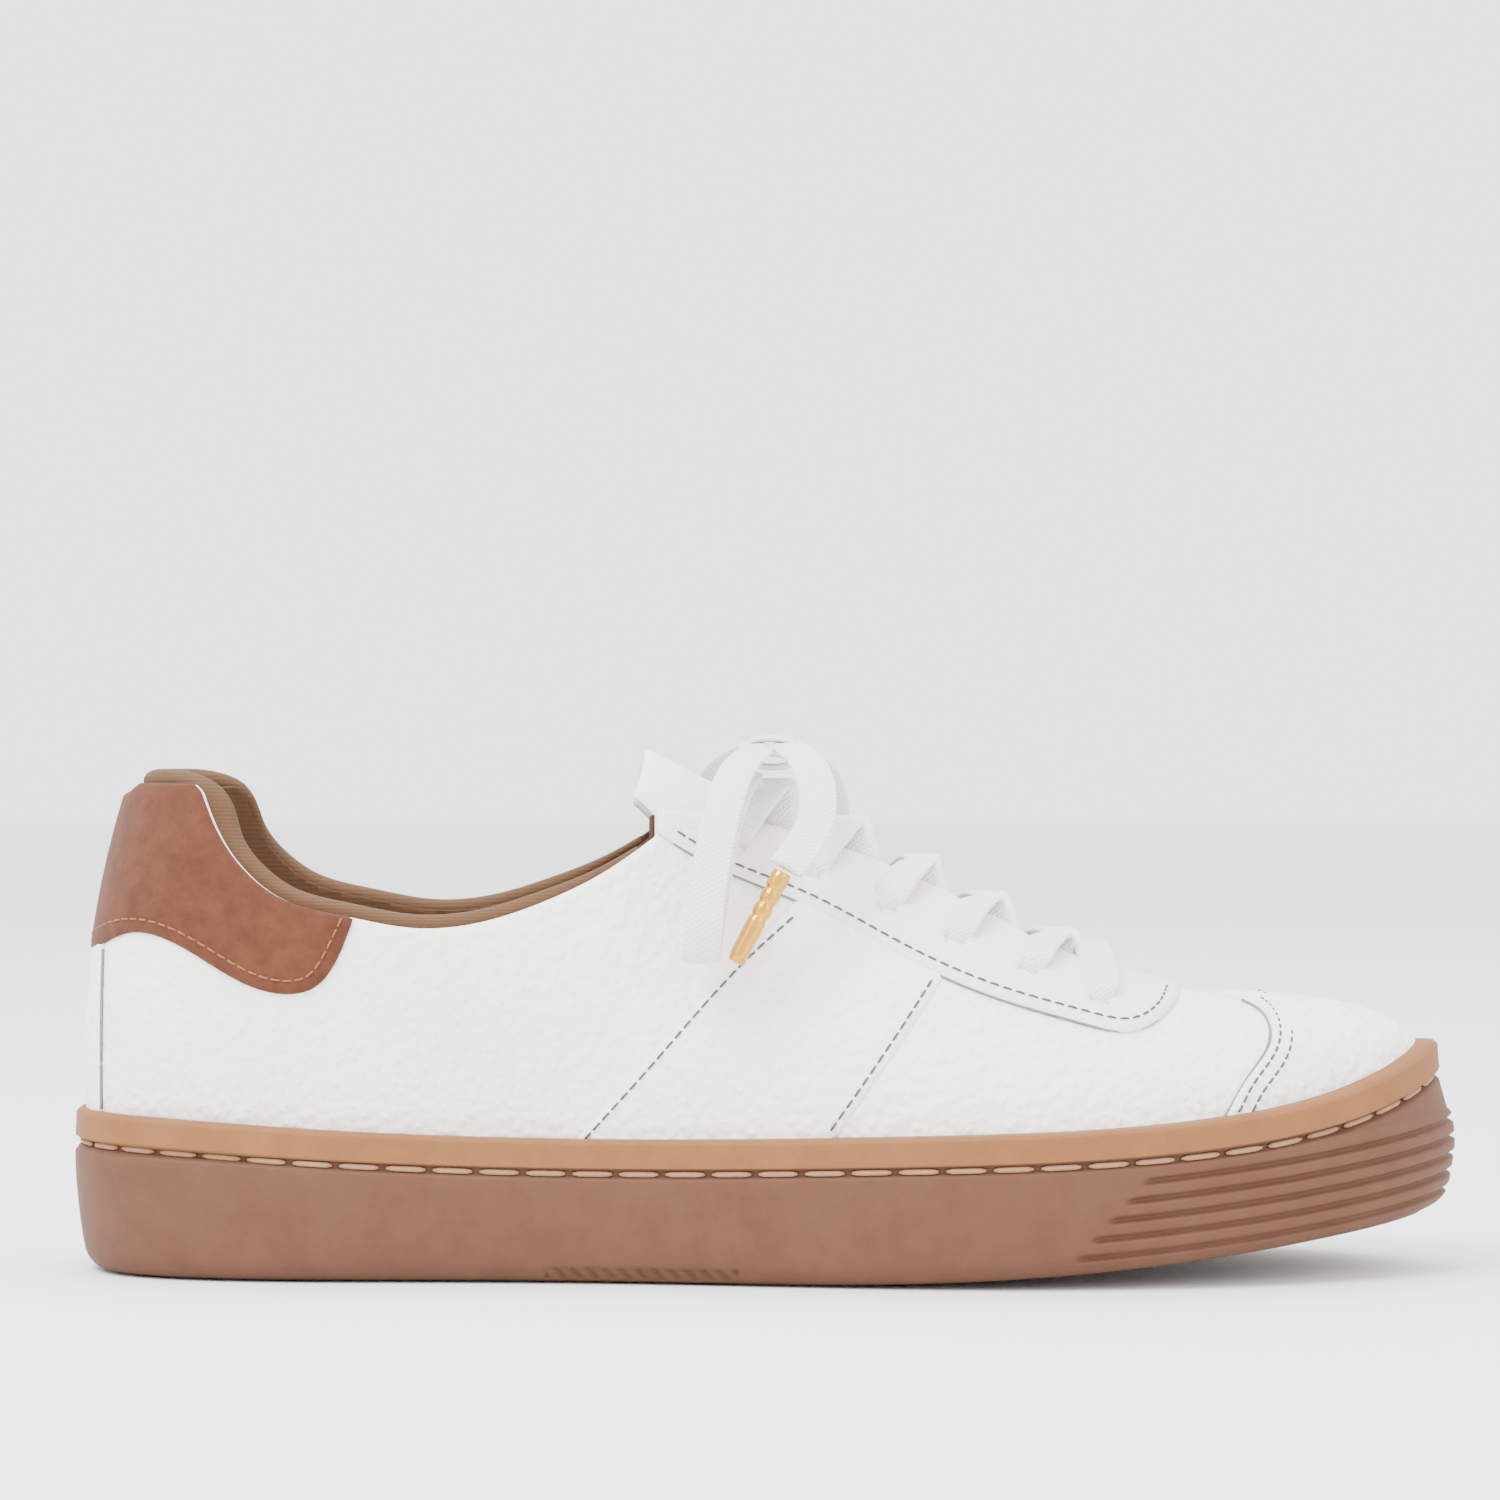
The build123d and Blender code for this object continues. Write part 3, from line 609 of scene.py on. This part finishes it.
panel("collar_lining", both, lambda p, side: np.minimum(trimmed(p, side, 1.3), -38 - p[..., 0]), lining_depth, 1.0,
      "shoe", KNIT)
panel("toe_puff", both, lambda p, side: p[..., 0] - 96, -1.5, 0.4, "shoe", BOARD)
panel("collar_foam", both, lambda p, side: np.minimum(trimmed(p, side, -1.5), np.minimum(
      16 - collar_height(p[..., 0]) + p[..., 2], -50 - p[..., 0])), -1.6, 1.4, "shoe", FOAM)
for side in SIDES:
    panel(f"quarter_lining_{side}", [side],
          lambda p, s: np.minimum(trimmed(p, s, 0.9), np.minimum(p[..., 0] + 38, 62 - p[..., 0])), lining_depth, 0.9,
          "shoe", BROWN, edge=0)
panel("vamp_lining", both, lambda p, side: np.minimum(trimmed(p, side, 0), p[..., 0] - 62), lining_depth, 0.9,
      "shoe", BROWN, edge=0)


def tube(points, radius, sides=8, squash=1.0, normal=None):
    """Rings round a line of points; squash flattens them along the normals."""
    pts = np.asarray(points, float)
    ahead = np.gradient(pts, axis=0)
    ahead /= np.linalg.norm(ahead, axis=1, keepdims=True)
    up = np.asarray(normal, float) if normal is not None else np.tile([0.0, 0.0, 1.0], (len(pts), 1))
    wide = np.cross(ahead, up)
    wide /= np.linalg.norm(wide, axis=1, keepdims=True)
    up = np.cross(wide, ahead)
    angle = np.linspace(0, 2 * math.pi, sides, endpoint=False)
    radius = np.broadcast_to(np.asarray(radius, float), (len(pts),))
    rings = (pts[:, None] + radius[:, None, None] * (np.cos(angle)[None, :, None] * wide[:, None]
             + squash * np.sin(angle)[None, :, None] * up[:, None]))
    faces = [[i * sides + k, i * sides + (k + 1) % sides, (i + 1) * sides + (k + 1) % sides, (i + 1) * sides + k]
             for i in range(len(pts) - 1) for k in range(sides)]
    faces += [list(range(sides))[::-1], [(len(pts) - 1) * sides + k for k in range(sides)]]
    return rings.reshape(-1, 3), faces


def roll():
    """The knit's rolled edge along the collar, round the heel tab and back."""
    lines = {}
    for side in SIDES:
        extra = MEDIAL_LIFT if side == "medial" else 0
        line = curve_points([(-27, 90.5)] + COLLAR[1:] + [(-123, HEEL_TOP)], 1.5)
        spots = []
        for x, z in line:
            p, n = halves[side].place(x, z + extra * float(smooth((x + 125) / 10)))
            spots.append(p - n * (2.6 + 2.2 * float(smooth((-30 - x) / 22))) + np.array([0, 0, 0.6]))
        lines[side] = spots
    heel = []
    for share in np.linspace(0.1, 0.9, 26):
        turn = math.pi * share
        start = lines["lateral"][-1]
        heel.append([start[0] - 11.0 * math.sin(turn), start[1] * math.cos(turn), HEEL_TOP + 0.6])
    path = np.array(lines["lateral"] + heel + lines["medial"][::-1])
    for _ in range(6):
        path[1:-1] = (path[:-2] + 2 * path[1:-1] + path[2:]) / 4
    points, faces = tube(path, 1.7 + 1.9 * smooth((-30 - path[:, 0]) / 22), 20, squash=0.7)
    piece = mesh_piece("collar_roll", points, faces, "shoe", KNIT)
    return piece


roll()

# ---------------------------------------------------------------- seams


def on_side_line(path, side):
    """Points and normals along a line given in the side view, evened out where the surface turns away."""
    placed = [halves[side].place(x, z) for x, z in path]
    line = np.array([p for p, _ in placed])
    up = np.array([n for _, n in placed])
    for _ in range(12):
        line[1:-1] = (line[:-2] + 2 * line[1:-1] + line[2:]) / 4
        up[1:-1] = (up[:-2] + 2 * up[1:-1] + up[2:]) / 4
    return line, up / np.linalg.norm(up, axis=1, keepdims=True)


def stitches(name, line, side_names, inset_sign, offset, height, pitch, material, thread=0.27):
    """Real stitches beside a seam: short round bars that dip at both ends."""
    points, faces = [], []
    for side in side_names:
        path = curve_points(line, 0.5)
        ahead = np.gradient(path, axis=0)
        ahead /= np.linalg.norm(ahead, axis=1, keepdims=True)
        path = path + inset_sign * offset * np.stack([-ahead[:, 1], ahead[:, 0]], -1)
        base_line, up = on_side_line(path, side)
        at = np.concatenate([[0], np.cumsum(np.linalg.norm(np.diff(base_line, axis=0), axis=1))])
        for start in np.arange(pitch * 0.2, at[-1] - pitch * 0.8, pitch):
            spots = []
            for share, dip in ((0, -0.25), (0.2, 0.12), (0.5, 0.2), (0.8, 0.12), (1, -0.25)):
                s = start + share * pitch * 0.72
                p, n = (np.array([np.interp(s, at, rows[:, k]) for k in range(3)]) for rows in (base_line, up))
                spots.append(p + n * (height + dip))
            ring, cap = tube(spots, thread, 6)
            base = sum(len(q) for q in points)
            points.append(ring)
            faces += [[i + base for i in face] for face in cap]
    return mesh_piece(name, np.concatenate(points), faces, "shoe", material)


stitches("stripe_rear_thread", [(-40, 30.5)] + STRIPE_REAR[1:3] + [(4.5, 77.2)], both, -1, 1.5, 0.78,
         STITCH_PITCH, GREY_THREAD)
stitches("stripe_front_thread", [(14, 31)] + STRIPE_FRONT[1:3], both, 1, 1.5, 0.78, STITCH_PITCH, GREY_THREAD)
stitches("eyestay_thread", [(-21, 92.4)] + EYESTAY_EDGE[1:8] + [(87, 58.6)], both, 1, 1.9, 1.32,
         STITCH_PITCH, GREY_THREAD)
for row, inset in enumerate((1.7, 4.2)):
    stitches(f"toe_thread_{row + 1}", [(92, 31.5)] + TOE_SEAM[1:5] + [(104.6, 56.2)], both, -1, inset, 0.98, 2.4,
             GREY_THREAD)
stitches("heel_patch_thread", PATCH_EDGE[1:-1] + [(-86.6, 76)], both, 1, 2.8, 1.45, 2.5, TAN_THREAD, 0.24)


def raw_edges(name, line, height):
    """The grey cut edge of an overlay, as a thin bead beside its seam."""
    points, faces = [], []
    for side in SIDES:
        base_line, up = on_side_line(curve_points(line, 1.0), side)
        ring, cap = tube(base_line + up * height, 0.34, 6)
        base = sum(len(q) for q in points)
        points.append(ring)
        faces += [[i + base for i in face] for face in cap]
    return mesh_piece(name, np.concatenate(points), faces, "shoe", RAW)


raw_edges("toe_raw_edge", [(92, 31.5)] + TOE_SEAM[1:6], 0.3)
raw_edges("eyestay_raw_edge", [(-20, 91.6)] + EYESTAY_EDGE[1:8] + [(88.5, 60)], 0.35)
raw_edges("back_strip_raw_edge", [(BACK_STRIP_X, 35), (BACK_STRIP_X, 50), (BACK_STRIP_X, 69)], 0.35)

# ---------------------------------------------------------------- sole

SOLE_AROUND = 1300
wall_lean = cubic([(-20, 6), (0, 3.2), (4, 2.2), (12, 0.9), (24, 0), (34, 0.3), (60, 2)])
toe_lean = cubic([(60, 0), (110, 1), (150, 4.2)])


def dip(value, half):
    """A rounded groove's depth share at a distance from its middle."""
    return smooth(1.35 * (1 - np.abs(value) / half))


def wall_depth(x, z, drop):
    """How far the sole's outer wall stands inside its outline, with its grooves, ribs and panel."""
    high = z - spring(x)
    depth = wall_lean(high) + toe_lean(x) * smooth((high - 12) / 20)
    depth += 3.4 * (1 - np.sqrt(np.clip(1 - (1 - np.clip(high / 4.2, 0, 1)) ** 2, 0, 1)))
    depth += 1.5 * dip(drop - GROOVE_DROP, 1.3)
    depth += 0.7 * smooth((drop - 6.2) / 0.8) * smooth((z - 25.2 - spring(x) * 0.6) / 0.9)
    depth += 0.9 * smooth((1.1 - drop) / 1.1) ** 2
    start = 59 + 0.95 * high
    for i in range(TOE_GROOVES):
        depth += 1.25 * dip(high - 3.7 - TOE_GROOVE_PITCH * i, 0.95) * smooth((x - start) / 3)
    inset_panel = smooth((x - PANEL_REAR) / 0.8) * smooth((PANEL_FRONT - x) / 0.8)
    inset_panel = inset_panel * smooth((high - 0.9) / 0.4) * smooth((3.5 - high) / 0.4)
    slots = dip(np.mod(x + 0.7 * high, SLOT_PITCH) - SLOT_PITCH / 2, 0.9)
    return depth + inset_panel * (0.35 + 0.8 * slots)


def make_cupsole():
    w = np.linspace(0, 1, SOLE_AROUND, endpoint=False)
    plan, out = outline(w), outward(w)
    x = plan[:, 0]
    top, low = lip_line(x), spring(x)
    grid = last(w[:, None], np.linspace(0, 0.75, 160)[None])
    first = (grid[..., 2] > (top - 0.4)[:, None]).argmax(1)
    pick = np.arange(len(w))
    upper = grid[pick, first]
    rows, amber = [], []
    for share in (1.0, 0.6, 0.2):
        inner_x = x * (1 - 0.26 * share)
        rows.append(np.stack([inner_x, plan[:, 1] * (1 - share), spring(inner_x)], -1))
        amber.append(False)
    steps = np.concatenate([np.linspace(0, 0.8, 64)[:-1], np.linspace(0.8, 1, 26)])
    for share in steps:
        z = low + (top - low) * share
        inset = wall_depth(x, z, top - z)
        rows.append(np.stack([plan[:, 0] - out[:, 0] * inset, plan[:, 1] - out[:, 1] * inset, z], -1))
        amber.append(share > 0.8)
    rim = rows[-1]
    for share in (0.35, 0.75, 1.0):
        spot = rim + (upper - rim) * share
        spot[:, 2] = top + 0.15 * (1 - share)
        rows.append(spot)
        amber.append(True)
    foot = plan - last_inset(x)[:, None] * out
    rows.append(np.stack([foot[:, 0], foot[:, 1], 7 + low], -1))
    rows.append(np.stack([foot[:, 0] * 0.93, foot[:, 1] * 0, 7 + spring(foot[:, 0] * 0.93)], -1))
    amber += [False, False]
    points = np.stack(rows, 1)
    deep = len(rows)
    faces, tones = [], []
    for i in range(len(w)):
        j = (i + 1) % len(w)
        for k in range(deep - 1):
            faces.append([i * deep + k, j * deep + k, j * deep + k + 1, i * deep + k + 1])
            tones.append(int(amber[k]))
    piece = mesh_piece("sole", points.reshape(-1, 3), faces, "shoe", RUBBER)
    piece.data.materials.append(LIP)
    if len(piece.data.polygons) == len(tones):
        piece.data.polygons.foreach_set("material_index", tones)
    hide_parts("cupsole")


make_cupsole()


def sole_stitches():
    """The heavy thread that lies in the sole's groove."""
    w = np.linspace(0, 1, 4000)
    plan, out = outline(w), outward(w)
    z = lip_line(plan[:, 0]) - GROOVE_DROP
    inset = wall_depth(plan[:, 0], z, 0 * z + GROOVE_DROP) - 0.55
    line = np.stack([plan[:, 0] - out[:, 0] * inset, plan[:, 1] - out[:, 1] * inset, z], -1)
    at = np.concatenate([[0], np.cumsum(np.linalg.norm(np.diff(line, axis=0), axis=1))])
    count = int(at[-1] / SOLE_STITCH_PITCH)
    points, faces = [], []
    for start in np.arange(count) * at[-1] / count:
        shares = np.linspace(0, 1, 9)
        spots = np.stack([np.interp(start + SOLE_STITCH * shares, at, line[:, k]) for k in range(3)], -1)
        ring, cap = tube(spots, 0.62 * np.sqrt(np.clip(1.02 - (2 * shares - 1) ** 6, 0.2, 1)), 8)
        base = sum(len(q) for q in points)
        points.append(ring)
        faces += [[i + base for i in face] for face in cap]
    mesh_piece("sidewall_thread", np.concatenate(points), faces, "shoe", SOLE_THREAD)


sole_stitches()

# ---------------------------------------------------------------- tongue

tongue_side = inside([[(x, -y) for x, y in TONGUE_NARROW], [(x, -y) for x, y in TONGUE_WIDE],
                      TONGUE_WIDE[::-1], TONGUE_NARROW[::-1]])
tongue_front = inside([TONGUE_END, [(-24, 140), (86, 140)], [(86, 40), (-36, 40)]])


def tongue_area(p, side):
    return np.minimum(tongue_side(p[..., 0], p[..., 1]), tongue_front(p[..., 0], p[..., 2]))


panel("tongue_outer", both, tongue_area, -3.6, 1.2, "tongue", SUEDE, edge=0.7)
panel("tongue_foam", both, lambda p, side: tongue_area(p, side) - 0.6, -4.85, 3.2, "tongue", SUEDE)

# ---------------------------------------------------------------- laces


def on_top(x, y, lift):
    side = "lateral" if y < 0 else "medial"
    p, n = halves[side].on(x, y)
    if abs(n[2]) > 0.15:
        dx, dy = x - p[0], y - p[1]
        p = p + (dx, dy, -(n[0] * dx + n[1] * dy) / n[2])
    return p + n * lift


def strap(name, path, body, width=LACE_WIDTH, lengthwise=(1, 0, 0), closed=False):
    """A flat lace along a path in mm, with rounded edges and its length in its UV map."""
    path = np.asarray(path, float)
    if closed:
        ahead = np.roll(path, -1, axis=0) - np.roll(path, 1, axis=0)
    else:
        ahead = np.gradient(path, axis=0)
    ahead /= np.linalg.norm(ahead, axis=1, keepdims=True)
    reference = np.asarray(lengthwise, float)
    wide = reference - (ahead @ reference)[:, None] * ahead
    wide /= np.linalg.norm(wide, axis=1, keepdims=True)
    thick = np.cross(ahead, wide)
    widths = np.broadcast_to(np.asarray(width, float), (len(path),))
    angle = np.linspace(0, 2 * math.pi, LACE_EDGES, endpoint=False)
    across = np.sign(np.cos(angle)) * np.abs(np.cos(angle)) ** 0.6
    up = np.sign(np.sin(angle)) * np.abs(np.sin(angle)) ** 0.75
    rings = (path[:, None] + wide[:, None] * (across[None, :, None] * widths[:, None, None] / 2)
             + thick[:, None] * (up[None, :, None] * LACE_THICKNESS / 2))
    count = len(path)
    faces = []
    for i in range(count if closed else count - 1):
        here, ahead_row = i * LACE_EDGES, (i + 1) % count * LACE_EDGES
        for k in range(LACE_EDGES):
            beside = (k + 1) % LACE_EDGES
            faces.append([here + k, here + beside, ahead_row + beside, ahead_row + k])
    if not closed:
        faces.append(list(range(LACE_EDGES))[::-1])
        faces.append([(count - 1) * LACE_EDGES + k for k in range(LACE_EDGES)])
    at = np.concatenate([[0], np.cumsum(np.linalg.norm(np.diff(path, axis=0), axis=1))])
    uv = [(float(a), float(c) * 4) for a in at for c in across]
    return mesh_piece(name, rings.reshape(-1, 3), faces, body, LACE, uv)


def strand(name, stops):
    """A strand over the upper that goes down into its hole at each stop marked by a low lift."""
    stops = np.array(stops, float)
    at = np.concatenate([[0], np.cumsum(np.linalg.norm(np.diff(stops[:, :2], axis=0), axis=1))])
    fine = np.linspace(0, at[-1], STRAND_STEPS)
    plan = [cubic(zip(at, stops[:, k]))(fine) for k in range(2)]
    lift = np.interp(fine, at, stops[:, 2])
    path = np.array([on_top(*spot) for spot in zip(*plan, lift)])
    for _ in range(3):
        path[1:-1] = (path[:-2] + 2 * path[1:-1] + path[2:]) / 4
    width = np.full(len(fine), LACE_WIDTH)
    for away, depth in ((fine, stops[0, 2]), (fine[-1] - fine, stops[-1, 2])):
        if depth < 0:
            width -= PINCH * (1 - smooth(away / PINCH_REACH))
    return strap(name, path, "shoe", width=width)


holes = [halves["lateral"].place(x, z)[0] for x, z in EYELETS]
spots = [(float(p[0]), abs(float(p[1]))) for p in holes]
over = OVERLAY + LACE_THICKNESS / 2 + 0.15
bar_x, bar_y = spots[-1]
strand("lace_bar", [(bar_x, -bar_y - 0.6, -2.5), (bar_x, -bar_y + 1.8, over), (bar_x - 1, -8, over + 0.8),
                    (bar_x - 1.5, -0.01, over + 1.1), (bar_x - 1, 8, over + 0.8), (bar_x, bar_y - 1.8, over),
                    (bar_x, bar_y + 0.6, -2.5)])
laced = [bpy.data.objects["lace_bar"]]
for row, ((x, y), (before, _)) in enumerate(zip(spots[-2::-1], spots[:0:-1])):
    for side, sign, lift in (("lateral", -1, 1.2), ("medial", 1, 3.0)):
        laced.append(strand(f"lace_{side}_{row + 1}", [
            (x, sign * (y + 0.6), -2.5), (x + 0.6, sign * (y - 1.8), over), (x + 4.5, sign * 11, over + 0.5),
            ((x + before) / 2, sign * 0.01, lift), (before - 4, -sign * 9.5, -1.0), (before - 2, -sign * 13, -2.4)]))
for piece in laced:
    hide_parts("lace_crossings")


def knot():
    """The bow's knot: a band that passes round the laces, and their two humps."""
    turn = np.linspace(0, 2 * math.pi, 48, endpoint=False)
    band = np.stack([1 + 5.2 * np.cos(turn) * np.abs(np.cos(turn)) ** -0.25, 0.8 * np.sin(turn),
                     111 + 3.1 * np.sin(turn) * np.abs(np.sin(turn) + 1e-9) ** -0.2], -1)
    made = [strap("knot_band", band, "shoe", width=7.6, lengthwise=(0.12, 1, 0), closed=True)]
    for number, (low_x, sign) in enumerate(((-3.5, -1), (4.0, 1))):
        across = np.linspace(-1, 1, 30)
        path = np.stack([low_x + 1.0 * across * sign, 6.9 * across, 110.6 + 2.0 * (1 - across ** 2)], -1)
        made.append(strap(f"knot_turn_{number + 1}", path, "shoe", width=6.0))
    for piece in made:
        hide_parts("lace_knot")


knot()


def curve_route(points):
    """The points in metres that a smooth open curve over these control points passes through."""
    data = bpy.data.curves.new("route", "CURVE")
    data.dimensions = "3D"
    data.resolution_u = 14
    spline = data.splines.new("NURBS")
    spline.points.add(len(points) - 1)
    for point, place in zip(spline.points, points):
        point.co = (*(value * MM for value in place), 1)
    spline.order_u = 3
    spline.use_endpoint_u = True
    holder = bpy.data.objects.new("route", data)
    bpy.context.scene.collection.objects.link(holder)
    bpy.context.view_layer.update()
    line = bpy.data.meshes.new_from_object(holder)
    route = [tuple(v.co) for v in line.vertices]
    bpy.data.objects.remove(holder)
    bpy.data.meshes.remove(line)
    return route


def aglet(name, ends, body):
    """A rolled metal tip with three dimples and a crimped end."""
    a, b = np.array(ends, float)
    share = np.linspace(0, 1, 60)
    path = a + (b - a) * share[:, None]
    radius = 2.3 - 0.25 * share - 0.4 * smooth((share - 0.93) / 0.07) - 0.25 * smooth((0.05 - share) / 0.05)
    for spot in (0.2, 0.35, 0.5):
        radius = radius - 0.35 * dip(share - spot, 0.035)
    points, faces = tube(path, radius, 24, squash=0.92)
    piece = mesh_piece(name, points, faces, body, GOLD)
    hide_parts(name)
    return piece


aglets = {"lateral": aglet("aglet_lateral", AGLET_LATERAL, "lace_end_lateral"),
          "medial": aglet("aglet_medial", AGLET_MEDIAL, "lace_end_medial")}
for name, points, length in (("bow_loop_lateral", LOOP_LATERAL, 0.123), ("bow_loop_medial", LOOP_MEDIAL, 0.1201),
                             ("lace_end_lateral", END_LATERAL, 0.048), ("lace_end_medial", END_MEDIAL, 0.048)):
    route = curve_route(points)
    piece = strap(name, np.array(route) / MM, name)
    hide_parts(name)

# ---------------------------------------------------------------- studio


def ground():
    mesh = bpy.data.meshes.new("floor")
    mesh.from_pydata([(-6, -3, -0.0004), (6, -3, -0.0004), (6, 6, -0.0004), (-6, 6, -0.0004)], [], [(0, 1, 2, 3)])
    floor = bpy.data.objects.new("floor", mesh)
    bpy.context.scene.collection.objects.link(floor)
    material, tree, shader = new_material("floor", (0.83, 0.83, 0.825), 0.7)
    mesh.materials.append(material)


ground()


def light(name, place, aim, size, power):
    data = bpy.data.lights.new(name, "AREA")
    data.shape = "RECTANGLE"
    data.size, data.size_y = size
    data.energy = power
    lamp = bpy.data.objects.new(name, data)
    lamp.location = place
    lamp.rotation_euler = (Vector(aim) - Vector(place)).to_track_quat("-Z", "Y").to_euler()
    bpy.context.scene.collection.objects.link(lamp)


light("key", (-0.7, -0.7, 1.3), (0, 0, 0.04), (0.7, 0.7), 40)
light("fill", (1.2, -0.9, 0.7), (0, 0, 0.05), (1.0, 1.0), 10)
light("top", (0, 0.3, 1.5), (0, 0, 0), (1.6, 1.2), 22)
world = bpy.data.worlds.new("studio")
world.use_nodes = True
world.node_tree.nodes["Background"].inputs["Color"].default_value = (0.86, 0.86, 0.86, 1)
world.node_tree.nodes["Background"].inputs["Strength"].default_value = 3.2
bpy.context.scene.world = world

eye = bpy.data.cameras.new("camera")
eye.sensor_width = 36
eye.lens = CAMERA_LENS
eye.clip_start = 0.01
camera = bpy.data.objects.new("camera", eye)
camera.location = CAMERA_PLACE
camera.rotation_euler = (math.pi / 2, 0, 0)
bpy.context.scene.collection.objects.link(camera)
bpy.context.scene.camera = camera
